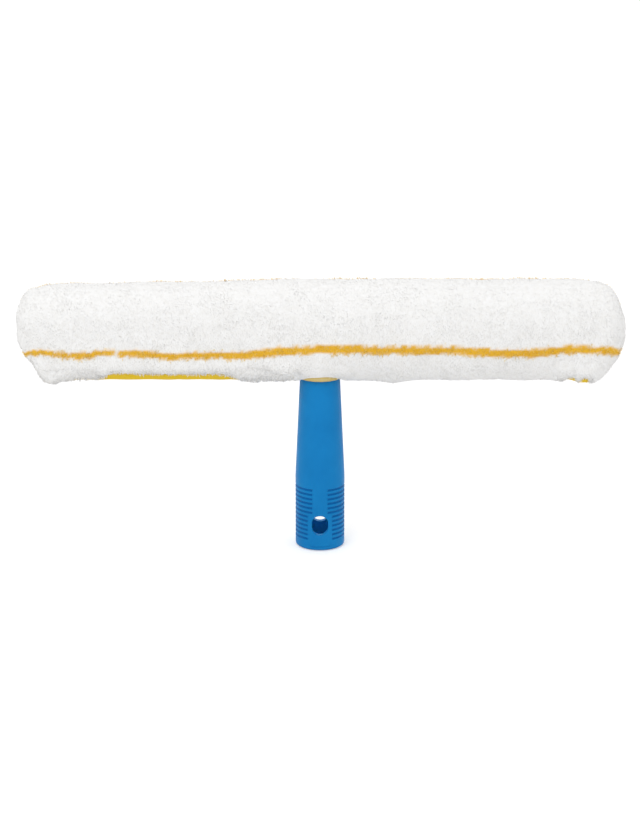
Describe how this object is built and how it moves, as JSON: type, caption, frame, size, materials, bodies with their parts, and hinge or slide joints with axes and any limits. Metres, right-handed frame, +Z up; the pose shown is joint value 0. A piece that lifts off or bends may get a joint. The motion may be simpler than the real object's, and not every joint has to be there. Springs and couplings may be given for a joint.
{
  "type": "window washer",
  "caption": "Window washing T-bar: a striped plush sleeve with a peel-open closure flap over a ribbed crossbar, on a short hollow handle with a pole socket and a hanging hole.",
  "frame": {"origin": "centre of the handle's lower end face, where a plane under the upright tool would touch it", "axes": "+Z up along the handle, X along the sleeve with the closure flap on the -X side, -Y the front"},
  "size_m": [0.355, 0.0408, 0.1625],
  "materials": {
    "blue_plastic": "satin moulded polypropylene",
    "white_plush": "deep white pile with mustard stripes",
    "yellow_tape": "smooth woven polyester tape",
    "hook_side": "stiff nylon hook tape",
    "loop_side": "napped nylon loop tape",
    "screw_steel": "zinc-plated steel"
  },
  "bodies": {
    "washer": {"handle": "blue_plastic", "crossbar": "blue_plastic", "saddle_screw_left": "screw_steel", "saddle_screw_right": "screw_steel", "plush_sleeve": "white_plush", "neck_binding": "yellow_tape", "hinge_binding": "yellow_tape", "loop_tape": "loop_side", "seam_tape": "yellow_tape", "left_end_tape": "yellow_tape", "right_end_tape": "yellow_tape"},
    "flap": {"closure_flap": "yellow_tape", "hook_tape": "hook_side"}
  },
  "joints": [
    {"name": "flap_peel", "type": "hinge", "parent": "washer", "child": "flap", "pos_m": [0, 0.01224, 0.10718], "axis": [1, 0, 0], "range_deg": [0, 130]}
  ]
}
